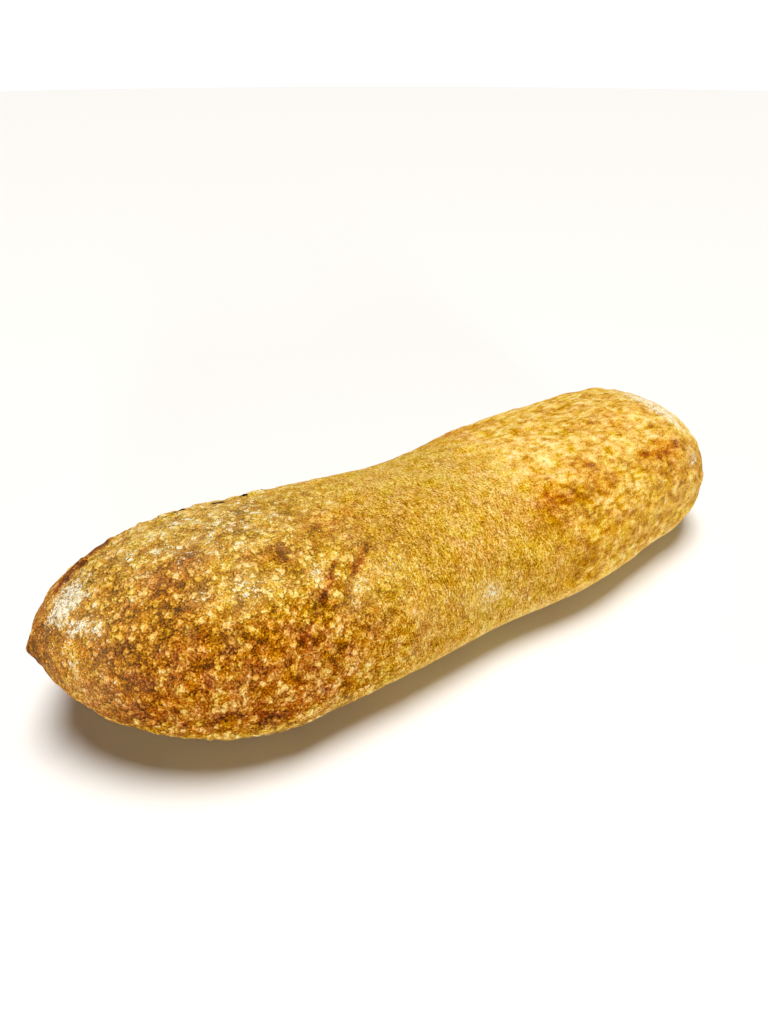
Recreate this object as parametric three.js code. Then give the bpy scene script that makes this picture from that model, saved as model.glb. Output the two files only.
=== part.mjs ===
/**
 * A long ciabatta loaf, lying flat on its underside.
 *
 * Frame: millimetres, +Z up. X runs along the loaf, from the pinched tip at -X to the blunt end at +X.
 * The origin is under the middle of the loaf's box, on the surface that the loaf rests on.
 *
 * The loaf is one solid. Its body is a rounded section, carried along X, whose half width, top line and
 * underside change slowly and close in a cap at each end. The relief of the crust is then moved out of
 * or into that surface: the pinched nub, the blisters, the creases and the wrinkles of the far end.
 * A place on the loaf is given as [share of the length, degrees round the section], with 90 degrees on
 * the crest, 180 on the side at -Y and 0 on the side at +Y.
 */
import * as THREE from 'three';

// Size of the loaf
const LENGTH = 310;
const WIDTH = 100; // across the middle, before the swells
const HEIGHT = 60; // from the surface it rests on to the crest, before the swells
const FOOT_SINK = 1.5; // how much of the rounded underside is pressed flat

// Its centre line, seen from above
const BOW = -8.5; // the middle lies this far to -Y of the ends
const TWIST = -3; // the far end turns this far to -Y, the near one to +Y

// The two ends: how long each cap is as a share of the length, how blunt, and how high its tip lies
const NEAR_END = { reach: 0.22, bluntness: 1.55, tipHeight: 35.5 };
const FAR_END = { reach: 0.16, bluntness: 2.1, tipHeight: 23.5 };

// Slow swells of the dough: where along the loaf, and how much further out each side and the crest lie
const SWELL_REACH = 0.12;
const SWELLS = [
  { at: 0.08, side: 5.5, crest: 3.0 }, // full near end
  { at: 0.24, side: 0.6, crest: 0.8 },
  { at: 0.5, side: -3.4, crest: -3.7 }, // waist
  { at: 0.64, side: 2.2, crest: 0.0 }, // shoulder past the waist
  { at: 0.8, side: -2.0, crest: -0.4 },
  { at: 0.92, side: -3.0, crest: -0.2 }, // narrower far end
];

// The section: its widest level, and how round it is (1 is an ellipse, less is boxier)
const WIDEST_LEVEL = 0.43;
const SIDE_ROUNDNESS = 0.92;
const UPPER_ROUNDNESS = 0.96;
const LOWER_ROUNDNESS = 0.6;

// The pinched nub on the near tip, where the dough was closed
const NUB_LENGTH = 2.6;
const NUB_RADIUS = 8;
const NUB_RISE = 2.5; // its middle lies this far above the tip
const NUB_HOLLOW = 1.5; // how hollow its side is (1 is a straight cone)

// Folds of the crust, each along a short line: a rise above 0 is a ridge, below 0 a crease
const FOLDS = [
  // the fold that parts the pebbled near end from the smooth middle
  { from: [0.336, 117], to: [0.306, 129], radius: 4.5, rise: -0.9 },
  { from: [0.306, 129], to: [0.284, 140], radius: 4.5, rise: -0.7 },
  { from: [0.296, 120], to: [0.259, 137], radius: 4.5, rise: -0.8 },
  { from: [0.32, 113], to: [0.285, 127], radius: 5, rise: 0.5 },
  { from: [0.28, 131], to: [0.235, 146], radius: 5, rise: 0.4 },
  // the lip round the near tip
  { from: [0.02, 60], to: [0.03, 120], radius: 4, rise: -0.5 },
  { from: [0.03, 120], to: [0.02, 175], radius: 4, rise: -0.4 },
  // the seam along the back of the near end
  { from: [0.075, 57], to: [0.112, 49], radius: 4.5, rise: 0.6 },
  // wrinkles of the far end
  { from: [0.68, 116], to: [0.693, 123], radius: 4.5, rise: -0.9 },
  { from: [0.785, 131], to: [0.818, 139], radius: 4.5, rise: -0.8 },
  { from: [0.785, 136], to: [0.82, 144], radius: 4.5, rise: 0.7 },
  { from: [0.59, 128], to: [0.62, 136], radius: 5, rise: -0.7 },
  // burst blisters on the crest
  { from: [0.235, 65], to: [0.247, 63], radius: 4.5, rise: 0.9 },
  { from: [0.272, 61], to: [0.303, 58], radius: 4.5, rise: 0.6 },
  { from: [0.172, 61], to: [0.192, 59], radius: 4.5, rise: 0.6 },
];

// Fields of smaller relief, scattered by a fixed rule between two places. A run is the length of each
// piece along the loaf, so a run of 0 is a round blister.
const FIELDS = [
  { count: 110, along: [0.04, 0.36], round: [-10, 190], radius: [4, 6.5], rise: [0.3, 0.8], run: [0, 4] },
  { count: 50, along: [0.36, 0.58], round: [-10, 190], radius: [5, 8], rise: [0.15, 0.4], run: [0, 8] },
  { count: 90, along: [0.56, 0.95], round: [-5, 185], radius: [4, 5.5], rise: [0.25, 0.7], run: [6, 20] },
];

// Relief fades out between these heights, so that the underside stays flat
const RELIEF_STARTS = 1.5;
const RELIEF_FULL = 9;

// How finely the skin is divided
const RINGS = 100;
const SIDES = 54;
const CREST_BIAS = 0.35; // how much closer the steps lie on the crest than on the underside

/** A repeatable number from 0 to 1 for a whole number. */
function draw(index) {
  const wave = Math.sin(index * 12.9898 + 4.1414) * 43758.5453;
  return wave - Math.floor(wave);
}

/** A repeatable number between two limits. */
function drawBetween([low, high], index) {
  return low + (high - low) * draw(index);
}

/** How far the skin has opened from a point at a tip (0) to the full section (1). */
function opening(share, { reach, bluntness }) {
  const inside = Math.max(0, 1 - share / reach);
  return Math.sqrt(Math.max(0, 1 - inside ** bluntness));
}

/** The lines that carry the section at one place along the loaf. */
function section(along) {
  const open = opening(along, NEAR_END) * opening(1 - along, FAR_END);
  let side = WIDTH / 2;
  let crest = HEIGHT;
  for (const swell of SWELLS) {
    const weight = Math.exp(-(((along - swell.at) / SWELL_REACH) ** 2));
    side += swell.side * weight;
    crest += swell.crest * weight;
  }
  const tip = THREE.MathUtils.lerp(NEAR_END.tipHeight, FAR_END.tipHeight, along);
  const top = THREE.MathUtils.lerp(tip, crest, open);
  const bottom = THREE.MathUtils.lerp(tip, -FOOT_SINK, open);
  return {
    centre: BOW * Math.cos(Math.PI * (along - 0.5)) + TWIST * (2 * along - 1) ** 3,
    halfWidth: side * open,
    widest: THREE.MathUtils.lerp(bottom, top, WIDEST_LEVEL),
    top,
    bottom,
  };
}

/** A point of the smooth skin, before the underside is pressed flat. */
function skin(along, angle) {
  const { centre, halfWidth, widest, top, bottom } = section(along);
  const across = Math.cos(angle);
  const up = Math.sin(angle);
  const level = up >= 0
    ? widest + (top - widest) * up ** UPPER_ROUNDNESS
    : widest - (widest - bottom) * (-up) ** LOWER_ROUNDNESS;
  return new THREE.Vector3(
    (along - 0.5) * LENGTH,
    centre + halfWidth * Math.sign(across) * Math.abs(across) ** SIDE_ROUNDNESS,
    level,
  );
}

/** The direction straight out of the smooth skin. */
function outward(along, angle) {
  const step = 1e-4;
  const lengthwise = skin(along + step, angle).sub(skin(along - step, angle));
  const around = skin(along, angle + 10 * step).sub(skin(along, angle - 10 * step));
  return around.cross(lengthwise).normalize();
}

/** A place given as [share of the length, degrees], as a point of the skin. */
function place([along, degrees]) {
  return skin(along, THREE.MathUtils.degToRad(degrees));
}

/** One fold or blister, as the line that it follows with its radius and rise. */
function mark(from, to, radius, rise) {
  return { line: new THREE.Line3(place(from), place(to)), radius, rise };
}

/** The scattered pieces of one field, spread evenly by the golden ratio and a little at random. */
function scatter(field, seed) {
  const golden = (Math.sqrt(5) - 1) / 2;
  const lengthShare = field.along[1] - field.along[0];
  return Array.from({ length: field.count }, (_, i) => {
    const own = seed + i * 7;
    const along = field.along[0] + (lengthShare * (i + draw(own))) / field.count;
    const turn = ((i * golden) % 1) + 0.08 * (draw(own + 1) - 0.5);
    const degrees = THREE.MathUtils.lerp(field.round[0], field.round[1], turn);
    const halfRun = drawBetween(field.run, own + 2) / LENGTH / 2;
    const lean = 8 * (draw(own + 3) - 0.5);
    return mark(
      [Math.max(0.01, along - halfRun), degrees - lean],
      [Math.min(0.99, along + halfRun), degrees + lean],
      drawBetween(field.radius, own + 4),
      drawBetween(field.rise, own + 5),
    );
  });
}

/** All the relief of the crust. */
function crustMarks() {
  const folds = FOLDS.map(({ from, to, radius, rise }) => mark(from, to, radius, rise));
  return [...folds, ...FIELDS.flatMap((field, i) => scatter(field, 1000 * (i + 1)))];
}

/** How far the crust stands out of the smooth skin at a point. */
function relief(point, marks) {
  const nearest = new THREE.Vector3();
  let lift = 0;
  for (const { line, radius, rise } of marks) {
    const share = line.closestPointToPoint(point, true, nearest).distanceTo(point) / radius;
    if (share < 1) lift += rise * (1 - share ** 2) ** 2;
  }
  return lift * THREE.MathUtils.smoothstep(point.z, RELIEF_STARTS, RELIEF_FULL);
}

/** How far the nub draws a point towards -X. */
function nubPull(point) {
  const middle = place([0, 0]);
  middle.z += NUB_RISE;
  const share = Math.min(1, point.distanceTo(middle) / NUB_RADIUS);
  return NUB_LENGTH * (1 - share) ** NUB_HOLLOW;
}

/** The outline seen from above, to divide the loaf into rings of equal steps along its side. */
class SideOutline extends THREE.Curve {
  getPoint(along) {
    return new THREE.Vector3((along - 0.5) * LENGTH, section(along).halfWidth, 0);
  }
}

/** The finished point of the crust: the skin with its relief, pressed flat where it rests. */
function crustPoint(along, angle, marks) {
  const point = skin(along, angle);
  const lift = relief(point, marks);
  const pull = nubPull(point);
  point.addScaledVector(outward(along, angle), lift);
  point.x -= pull;
  point.z = Math.max(0, point.z);
  return point;
}

/** The vertices: the near tip, then ring after ring, then the far tip. */
function crustVertices(marks) {
  const outline = new SideOutline();
  outline.arcLengthDivisions = 4000;
  const nearTip = place([0, 0]);
  nearTip.x -= nubPull(nearTip);
  const points = [nearTip];
  for (let ring = 1; ring <= RINGS; ring += 1) {
    const along = outline.getUtoTmapping(ring / (RINGS + 1));
    for (let side = 0; side < SIDES; side += 1) {
      const turn = (2 * Math.PI * side) / SIDES;
      points.push(crustPoint(along, turn + CREST_BIAS * Math.cos(turn), marks));
    }
  }
  points.push(place([1, 0]));
  return points;
}

/** The triangles: a fan at each tip and two to each cell between neighbouring rings, facing out. */
function crustFaces() {
  const vertex = (ring, side) => 1 + ring * SIDES + (side % SIDES);
  const farTip = 1 + RINGS * SIDES;
  const faces = [];
  for (let side = 0; side < SIDES; side += 1) {
    faces.push(0, vertex(0, side + 1), vertex(0, side));
    faces.push(farTip, vertex(RINGS - 1, side), vertex(RINGS - 1, side + 1));
    for (let ring = 0; ring < RINGS - 1; ring += 1) {
      const [a, b] = [vertex(ring, side), vertex(ring, side + 1)];
      const [c, d] = [vertex(ring + 1, side), vertex(ring + 1, side + 1)];
      if ((ring + side) % 2) faces.push(a, b, d, a, d, c);
      else faces.push(a, b, c, b, d, c);
    }
  }
  return faces;
}

/** The loaf's closed skin, with the middle of its box over the origin. */
function loafGeometry() {
  const geometry = new THREE.BufferGeometry().setFromPoints(crustVertices(crustMarks()));
  geometry.setIndex(crustFaces());
  geometry.computeBoundingBox();
  const middle = geometry.boundingBox.getCenter(new THREE.Vector3());
  geometry.translate(-middle.x, -middle.y, 0);
  geometry.computeVertexNormals();
  return geometry;
}

/** Matt golden-brown crust. */
const crust = new THREE.MeshStandardMaterial({ color: 0xc38f3b, roughness: 0.75, metalness: 0 });

const loaf = new THREE.Mesh(loafGeometry(), crust);
loaf.name = 'loaf';

const ciabatta = new THREE.Group();
ciabatta.add(loaf);

export default ciabatta;
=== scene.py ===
"""A long ciabatta loaf on a plain pale floor.

The loaf is one crust, worked out on a grid along the loaf and round its section. It takes the place of the
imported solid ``loaf`` and keeps its form, with the finer blisters, pebbles and wrinkles of a baked crust on
top. Loose flour and burnt flakes lie on it as pieces of their own.

Sizes are millimetres, and meshes are written in metres. A place on the loaf is a share of its length (0 at
the pinched near tip, 1 at the blunt far end) and degrees round the section (90 on the crest, 180 on the
side at -Y, 0 on the side at +Y, 270 underneath).
"""

from __future__ import annotations

import logging
import math
from collections.abc import Callable, Iterable
from dataclasses import dataclass, field
from enum import Enum
from functools import partial, reduce

import bmesh
import bpy
import numpy as np
from mathutils import Matrix, Vector


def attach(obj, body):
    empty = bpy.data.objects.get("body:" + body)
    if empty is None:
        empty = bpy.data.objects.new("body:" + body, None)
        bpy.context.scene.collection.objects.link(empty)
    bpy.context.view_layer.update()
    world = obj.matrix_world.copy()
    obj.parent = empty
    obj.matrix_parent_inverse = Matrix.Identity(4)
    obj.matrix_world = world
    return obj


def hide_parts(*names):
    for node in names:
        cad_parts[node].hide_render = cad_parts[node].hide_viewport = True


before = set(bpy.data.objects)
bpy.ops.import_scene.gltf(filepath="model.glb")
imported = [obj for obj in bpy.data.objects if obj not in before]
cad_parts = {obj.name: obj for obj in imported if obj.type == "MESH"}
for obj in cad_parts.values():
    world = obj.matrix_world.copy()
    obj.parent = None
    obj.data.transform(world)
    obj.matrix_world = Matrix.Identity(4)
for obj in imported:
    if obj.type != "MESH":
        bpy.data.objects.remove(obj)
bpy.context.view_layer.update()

Array = np.ndarray
Object = bpy.types.Object
Material = bpy.types.Material
Socket = bpy.types.NodeSocket
Place = tuple[float, float]
Pair = tuple[float, float]
Colour = tuple[int, int, int]
Light = tuple[float, float, float, float]

MM = 0.001  # metres in a millimetre
NODE = "loaf"
UV_MAP = "OFBake"
log = logging.getLogger("ciabatta")


# ---- Numbers that vary over the crust ----

WAVE_STEP, WAVE_START, WAVE_SIZE = 12.9898, 4.1414, 43758.5453
CELL_PRIMES = (73856093, 19349663, 83492791)
SEED_PRIME, SEED_START = 668265263, 374761393
MIXING = ((13, 1274126177), (16, 668265263))  # the shift and prime of each round
LAST_SHIFT, KEPT_BITS, DRAWN_BITS = 15, 0x7FFFFFFFFFFF, 0xFFFFFF
LAYER_SEEDS = 17  # from one layer's seed to the next


def draw(index: Array | float) -> Array:
    """Repeatable numbers from 0 to 1: the fraction of a large sine of each index."""
    wave = np.sin(np.asarray(index, float) * WAVE_STEP + WAVE_START) * WAVE_SIZE
    return wave - np.floor(wave)


def ease(value: Array, low: float, high: float) -> Array:
    """A smooth step, 3t^2 - 2t^3, from 0 at low to 1 at high; it falls where high is below low."""
    t = np.clip((value - low) / (high - low), 0.0, 1.0)
    return t * t * (3.0 - 2.0 * t)


def between(ends: Pair, share: Array) -> Array:
    """The value that lies a share of the way from the first end to the second."""
    return ends[0] + (ends[1] - ends[0]) * share


@dataclass(frozen=True)
class Step:
    """A smooth step from the least, where a value starts, to the most, where it is full."""

    start: float
    full: float
    most: float = 1.0
    least: float = 0.0

    def at(self, value: Array) -> Array:
        """The step at each value."""
        return between((self.least, self.most), ease(value, self.start, self.full))


def lattice_draw(cell: Array, seed: int) -> Array:
    """Repeatable numbers for lattice cells, by mixing the bits of their three whole numbers.

    Args:
        cell: the cells, shape (n, 3).
        seed: another seed gives other numbers.

    Returns:
        A number from 0 to 1 for each cell.
    """
    mixed = np.bitwise_xor.reduce(cell.astype(np.int64) * CELL_PRIMES, axis=-1)
    mixed = mixed ^ (seed * SEED_PRIME + SEED_START)
    for shift, prime in MIXING:
        mixed = (mixed ^ (mixed >> shift)) * prime & KEPT_BITS
    return ((mixed ^ (mixed >> LAST_SHIFT)) & DRAWN_BITS) / float(DRAWN_BITS)


@dataclass(frozen=True)
class Noise:
    """Smooth noise from about -1 to 1, with one width in millimetres or its widths along X, Y and Z."""

    width: float | tuple[float, float, float]
    seed: int
    layers: int = 1
    strength: float = 1.0

    def at(self, points: Array) -> Array:
        """Sums the layers, each half as wide and half as strong as the one before.

        Args:
            points: places in millimetres.

        Returns:
            The noise at each point.
        """
        strengths = [0.5**layer for layer in range(self.layers)]
        seeds = range(self.seed, self.seed + LAYER_SEEDS * self.layers, LAYER_SEEDS)
        layers = (s * self._layer(points / self.width / s, seed) for s, seed in zip(strengths, seeds))
        return self.strength * sum(layers) / sum(strengths)

    @staticmethod
    def _layer(scaled: Array, seed: int) -> Array:
        """One layer: numbers drawn for the eight corners of a cell, blended by eased weights.

        Args:
            scaled: places, in cells.
            seed: the layer's seed.

        Returns:
            The layer at each place, -1 to 1.
        """
        cell = np.floor(scaled)
        part = ease(scaled - cell, 0.0, 1.0)
        total = np.zeros(len(scaled))
        for corner in np.ndindex(2, 2, 2):
            total += np.prod(np.where(corner, part, 1.0 - part), axis=1) * lattice_draw(cell + corner, seed)
        return 2.0 * total - 1.0


@dataclass(frozen=True)
class Bend:
    """Noise that draws a pattern out of line."""

    width: float
    reach: float
    seed: int

    def moved(self, points: Array) -> Array:
        """The points, moved along each axis by up to the reach."""
        ways = [Noise(self.width, self.seed + axis).at(points) for axis in range(3)]
        return points + self.reach * np.stack(ways, axis=1)


@dataclass(frozen=True)
class Domes:
    """Rounded blisters, one at a drawn place in each lattice cell, with a drawn radius and height.

    A dome falls as 1 - (distance / radius)^2, raised to its fullness, and where domes meet the higher one
    shows. The radii are over the spacing, and the share is that of the cells that have a dome.
    """

    spacing: float
    seed: int
    fullness: float
    share: float = 1.0
    radii: Pair = (0.38, 0.8)
    heights: Pair = (0.35, 1.0)

    def at(self, points: Array) -> Array:
        """Finds the highest dome over each point.

        Args:
            points: places in millimetres.

        Returns:
            Its height, 0 to 1.
        """
        home = np.floor(points / self.spacing)
        highest = np.zeros(len(points))
        for step in np.ndindex(3, 3, 3):
            cell = home + step - 1.0
            *place, radius, height, chance = (lattice_draw(cell, self.seed + k) for k in range(6))
            centre = (cell + np.stack(place, axis=1)) * self.spacing
            away = np.sum((points - centre) ** 2, axis=1) / (self.spacing * between(self.radii, radius)) ** 2
            dome = np.clip(1.0 - away, 0.0, 1.0) ** self.fullness * between(self.heights, height)
            np.maximum(highest, dome * (chance < self.share), out=highest)
        return highest


# ---- The form of the loaf ----


@dataclass(frozen=True)
class Cap:
    """One end of the loaf."""

    reach: float
    bluntness: float
    tip_height: float

    def opening(self, share: Array) -> Array:
        """How far the skin has opened, 0 at the tip and 1 past the cap: sqrt(1 - inside^bluntness)."""
        inside = np.clip(1.0 - share / self.reach, 0.0, 1.0)
        return np.sqrt(np.clip(1.0 - inside**self.bluntness, 0.0, 1.0))


@dataclass(frozen=True)
class Swell:
    """A slow swell of the dough, with how much further out each side and the crest lie."""

    at: float
    side: float
    crest: float


@dataclass(frozen=True)
class LoafForm:
    """The smooth skin of the loaf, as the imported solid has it."""

    length: float = 310.0
    width: float = 100.0
    height: float = 60.0
    foot_sink: float = 1.5
    bow: float = -8.5
    twist: float = -3.0
    near_cap: Cap = Cap(reach=0.22, bluntness=1.55, tip_height=35.5)
    far_cap: Cap = Cap(reach=0.16, bluntness=2.1, tip_height=23.5)
    swell_reach: float = 0.12
    swells: tuple[Swell, ...] = (
        Swell(0.08, 5.5, 3.0),
        Swell(0.24, 0.6, 0.8),
        Swell(0.5, -3.4, -3.7),
        Swell(0.64, 2.2, 0.0),
        Swell(0.8, -2.0, -0.4),
        Swell(0.92, -3.0, -0.2),
    )
    widest_level: float = 0.43
    side_roundness: float = 0.92
    upper_roundness: float = 0.96
    lower_roundness: float = 0.6
    nub_length: float = 2.6
    nub_radius: float = 8.0
    nub_rise: float = 2.5
    nub_hollow: float = 1.5
    slope_step: float = 1e-4

    def half_width(self, along: Array) -> Array:
        """Half the width: that of the middle plus each swell's bell curve, closed by the caps."""
        return (self.width / 2.0 + self._swollen(along, "side")) * self._open(along)

    def skin(self, along: Array, angle: Array) -> Array:
        """Works out the smooth skin, before the underside is pressed flat.

        The section is an ellipse round the widest level, its cosine and sine raised to powers near 1, from
        an underside line to a top line that the caps bring together.

        Args:
            along: shares of the length.
            angle: radians round the section.

        Returns:
            Places, with one more axis of 3.
        """
        opened = self._open(along)
        tip = self.near_cap.tip_height * (1.0 - along) + self.far_cap.tip_height * along
        top = tip + (self.height + self._swollen(along, "crest") - tip) * opened
        bottom = tip + (-self.foot_sink - tip) * opened
        widest = bottom + (top - bottom) * self.widest_level
        centre = self.bow * np.cos(np.pi * (along - 0.5)) + self.twist * (2.0 * along - 1.0) ** 3
        across, up = np.cos(angle), np.sin(angle)
        sideways = self.half_width(along) * np.sign(across) * np.abs(across) ** self.side_roundness
        level = np.where(
            up >= 0.0,
            widest + (top - widest) * np.abs(up) ** self.upper_roundness,
            widest - (widest - bottom) * np.abs(up) ** self.lower_roundness,
        )
        return np.stack([(along - 0.5) * self.length, centre + sideways, level], axis=-1)

    def outward(self, along: Array, angle: Array) -> Array:
        """Finds the way straight out of the skin: the cross product of its slopes round and along.

        Args:
            along: shares of the length.
            angle: radians round the section.

        Returns:
            Unit directions.
        """
        step, turn = self.slope_step, 10 * self.slope_step
        lengthwise = self.skin(along + step, angle) - self.skin(along - step, angle)
        around = self.skin(along, angle + turn) - self.skin(along, angle - turn)
        normal = np.cross(around, lengthwise)
        return normal / np.linalg.norm(normal, axis=-1, keepdims=True)

    def place(self, along: float, degrees: float) -> Array:
        """One place on the skin, in millimetres."""
        return self.skin(np.array(along), np.array(math.radians(degrees)))

    def nub_pull(self, points: Array) -> Array:
        """How far the pinched nub draws points towards -X: a cone with a hollow side."""
        away = np.linalg.norm(points - self.place(0.0, 0.0) - [0.0, 0.0, self.nub_rise], axis=-1)
        return self.nub_length * np.clip(1.0 - away / self.nub_radius, 0.0, 1.0) ** self.nub_hollow

    def _open(self, along: Array) -> Array:
        """Both caps' openings together."""
        return self.near_cap.opening(along) * self.far_cap.opening(1.0 - along)

    def _swollen(self, along: Array, part: str) -> Array:
        """The bell curves of the swells for one part, side or crest, added up."""
        away = [(np.asarray(along, float) - swell.at) / self.swell_reach for swell in self.swells]
        return sum(getattr(swell, part) * np.exp(-(share**2)) for swell, share in zip(self.swells, away))


# ---- The relief of the crust ----


@dataclass(frozen=True)
class Fold:
    """A ridge (rise above 0) or crease (below 0) along a short line between two places."""

    start: Place
    end: Place
    radius: float
    rise: float

    def at(self, form: LoafForm, points: Array) -> Array:
        """Works out rise * (1 - share^2)^2, with the distance from the line as a share of the radius.

        Args:
            form: the loaf.
            points: places on its skin.

        Returns:
            The lift at each point.
        """
        first, last = form.place(*self.start), form.place(*self.end)
        run = last - first
        t = np.clip((points - first) @ run / (run @ run), 0.0, 1.0)
        share = np.linalg.norm(points - first - t[:, None] * run, axis=1) / self.radius
        return self.rise * np.clip(1.0 - share**2, 0.0, 1.0) ** 2


@dataclass(frozen=True)
class BlisterField:
    """Blisters or short wrinkles spread between two places by the golden ratio, each a little at random."""

    count: int
    along: Pair
    round: Pair
    radius: Pair
    rise: Pair
    run: Pair
    seed: int
    scatter: float = 0.08
    lean: float = 8.0

    def folds(self, length: float) -> list[Fold]:
        """Draws the pieces.

        Args:
            length: the loaf's length.

        Returns:
            A fold for each.
        """
        golden = (math.sqrt(5.0) - 1.0) / 2.0
        i = np.arange(self.count)
        own = self.seed + 7 * i
        along = between(self.along, (i + draw(own)) / self.count)
        degrees = between(self.round, (i * golden) % 1.0 + self.scatter * (draw(own + 1) - 0.5))
        half_run = between(self.run, draw(own + 2)) / length / 2.0
        lean = self.lean * (draw(own + 3) - 0.5)
        radius, rise = between(self.radius, draw(own + 4)), between(self.rise, draw(own + 5))
        starts = zip(np.maximum(0.01, along - half_run), degrees - lean)
        ends = zip(np.minimum(0.99, along + half_run), degrees + lean)
        return [Fold(*piece) for piece in zip(starts, ends, radius, rise)]


@dataclass(frozen=True)
class Patch:
    """A soft-edged area on the crust: a bell curve with a half length along X and another across it."""

    at_place: Place
    length: float
    girth: float
    strength: float

    def at(self, form: LoafForm, points: Array) -> Array:
        """Its strength at each point: the bell curve of the distance from its middle."""
        x, y, z = (points - form.place(*self.at_place)).T
        return self.strength * np.exp(-((x / self.length) ** 2) - (y**2 + z**2) / self.girth**2)


def patches(*rows: tuple[float, float, float, float, float]) -> tuple[Patch, ...]:
    """Patches from rows: a share of the length, degrees round, half length, half girth and strength."""
    return tuple(Patch(row[:2], *row[2:]) for row in rows)


def added(marks: Iterable[Fold | Patch], form: LoafForm, points: Array) -> Array:
    """What all folds or patches come to at each point."""
    return sum(mark.at(form, points) for mark in marks)


@dataclass(frozen=True)
class CrustSample:
    """The crust at many places: the smooth skin, the way out of it and the shapes of its relief."""

    along: Array
    skin: Array
    outward: Array
    pebbles: Array
    blobs: Array
    wrinkles: Array
    near: Array
    far: Array


@dataclass(frozen=True)
class CrustSurface:
    """The smooth skin with all that stands out of or sinks into it.

    The blobs are large, flat-topped blisters that stand apart.
    """

    form: LoafForm = LoafForm()
    folds: tuple[Fold, ...] = (
        # the fold that parts the pebbled near end from the smooth middle
        Fold((0.336, 117), (0.306, 129), 2.6, -0.7),
        Fold((0.306, 129), (0.284, 140), 2.4, -0.5),
        Fold((0.296, 120), (0.259, 137), 2.6, -0.7),
        Fold((0.246, 139), (0.222, 146), 2.2, 0.6),
        Fold((0.320, 113), (0.285, 127), 5.0, 0.5),
        Fold((0.280, 131), (0.235, 146), 5.0, 0.4),
        # the lip round the near tip
        Fold((0.02, 60), (0.03, 120), 3.0, -0.5),
        Fold((0.03, 120), (0.02, 175), 3.0, -0.4),
        # the seam along the back of the near end
        Fold((0.075, 57), (0.112, 49), 4.0, 0.5),
        # wrinkles of the far end
        Fold((0.680, 116), (0.693, 123), 2.6, -0.7),
        Fold((0.785, 131), (0.818, 139), 3.0, -0.6),
        Fold((0.785, 136), (0.820, 144), 3.2, 0.6),
        Fold((0.59, 128), (0.62, 136), 4.0, -0.6),
        # burst blisters on the crest
        Fold((0.235, 65), (0.247, 63), 3.5, 0.7),
        Fold((0.272, 61), (0.303, 58), 3.0, 0.5),
        Fold((0.172, 61), (0.192, 59), 3.0, 0.5),
    )
    fields: tuple[BlisterField, ...] = (
        BlisterField(110, (0.04, 0.36), (-10, 190), (4, 6.5), (0.1, 0.4), (0, 4), 1000),
        BlisterField(50, (0.36, 0.58), (-10, 190), (5, 8), (0.15, 0.4), (0, 8), 2000),
        BlisterField(90, (0.56, 0.95), (-5, 185), (4, 5.5), (0.25, 0.7), (6, 20), 3000),
    )
    pebble: Domes = Domes(4.4, seed=11, fullness=0.8)
    grain: Domes = Domes(2.8, seed=31, fullness=0.9)
    grain_share: float = 0.28
    pebble_bend: Bend = Bend(4.0, reach=0.9, seed=70)
    pebble_rise: float = 1.0
    pebble_middle: float = 0.45
    blob: Domes = Domes(7.5, seed=121, fullness=0.5, share=0.45)
    blob_bend: Bend = Bend(5.0, reach=1.4, seed=110)
    blob_rise: float = 0.6
    blob_middle: float = 0.2
    wrinkle: Noise = Noise((15.0, 5.5, 5.5), seed=95)
    wrinkle_bend: Bend = Bend(14.0, reach=3.0, seed=90)
    wrinkle_sharpness: float = 0.8
    wrinkle_rise: float = 0.36
    crinkle: Noise = Noise((7.0, 3.2, 3.2), seed=96, strength=0.4)
    crinkle_bend: Bend = Bend(14.0, reach=2.0, seed=90)
    lump: Noise = Noise(26.0, seed=51, layers=2, strength=0.3)
    coarse_heights: Step = Step(1.5, 9.0)
    fine_heights: Step = Step(0.5, 4.0, least=0.2)
    least_pebbled: float = 0.15
    pebbled_from: Step = Step(0.42, 0.24)
    tip_from: Step = Step(0.01, 0.06, least=0.35)
    wrinkled_from: Step = Step(0.52, 0.66)

    def sample(self, along: Array, angle: Array) -> CrustSample:
        """Works out what is known of the crust.

        Args:
            along: shares of the length.
            angle: radians round the section.

        Returns:
            The places. Near is how pebbled they are, most at the near end and little past the fold, and
            far is how wrinkled, most at the far end and not at all in the middle.
        """
        skin, outward = self.form.skin(along, angle), self.form.outward(along, angle)
        near = between((self.least_pebbled, 1.0), self.pebbled_from.at(along) * self.tip_from.at(along))
        blobs = self.blob.at(self.blob_bend.moved(skin))
        pebbles, wrinkles, far = self._pebbles(skin), self._wrinkles(skin), self.wrinkled_from.at(along)
        return CrustSample(along, skin, outward, pebbles, blobs, wrinkles, near, far)

    def shaped(self, crust: CrustSample) -> Array:
        """Lifts the skin straight out by the relief, and presses it flat on the floor.

        Args:
            crust: the places.

        Returns:
            The points of the crust.
        """
        lift = self._coarse(crust.skin) + self._fine(crust)
        points = crust.skin + crust.outward * lift[:, None]
        points[:, 0] -= self.form.nub_pull(crust.skin)
        points[:, 2] = np.maximum(points[:, 2], 0.0)
        return points

    def _coarse(self, skin: Array) -> Array:
        """The lift of the folds and blister fields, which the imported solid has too."""
        marks = sum((blisters.folds(self.form.length) for blisters in self.fields), list(self.folds))
        return added(marks, self.form, skin) * self.coarse_heights.at(skin[:, 2])

    def _fine(self, crust: CrustSample) -> Array:
        """Adds up the pebbles, blobs, wrinkles and lumps, which are lower near the floor.

        Args:
            crust: the places.

        Returns:
            The lift at each place.
        """
        lift = self.pebble_rise * (crust.pebbles - self.pebble_middle)
        lift = crust.near * (lift + self.blob_rise * (crust.blobs - self.blob_middle))
        lift += self.wrinkle_rise * crust.far * crust.wrinkles + self.lump.at(crust.skin)
        return lift * self.fine_heights.at(crust.skin[:, 2])

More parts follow.
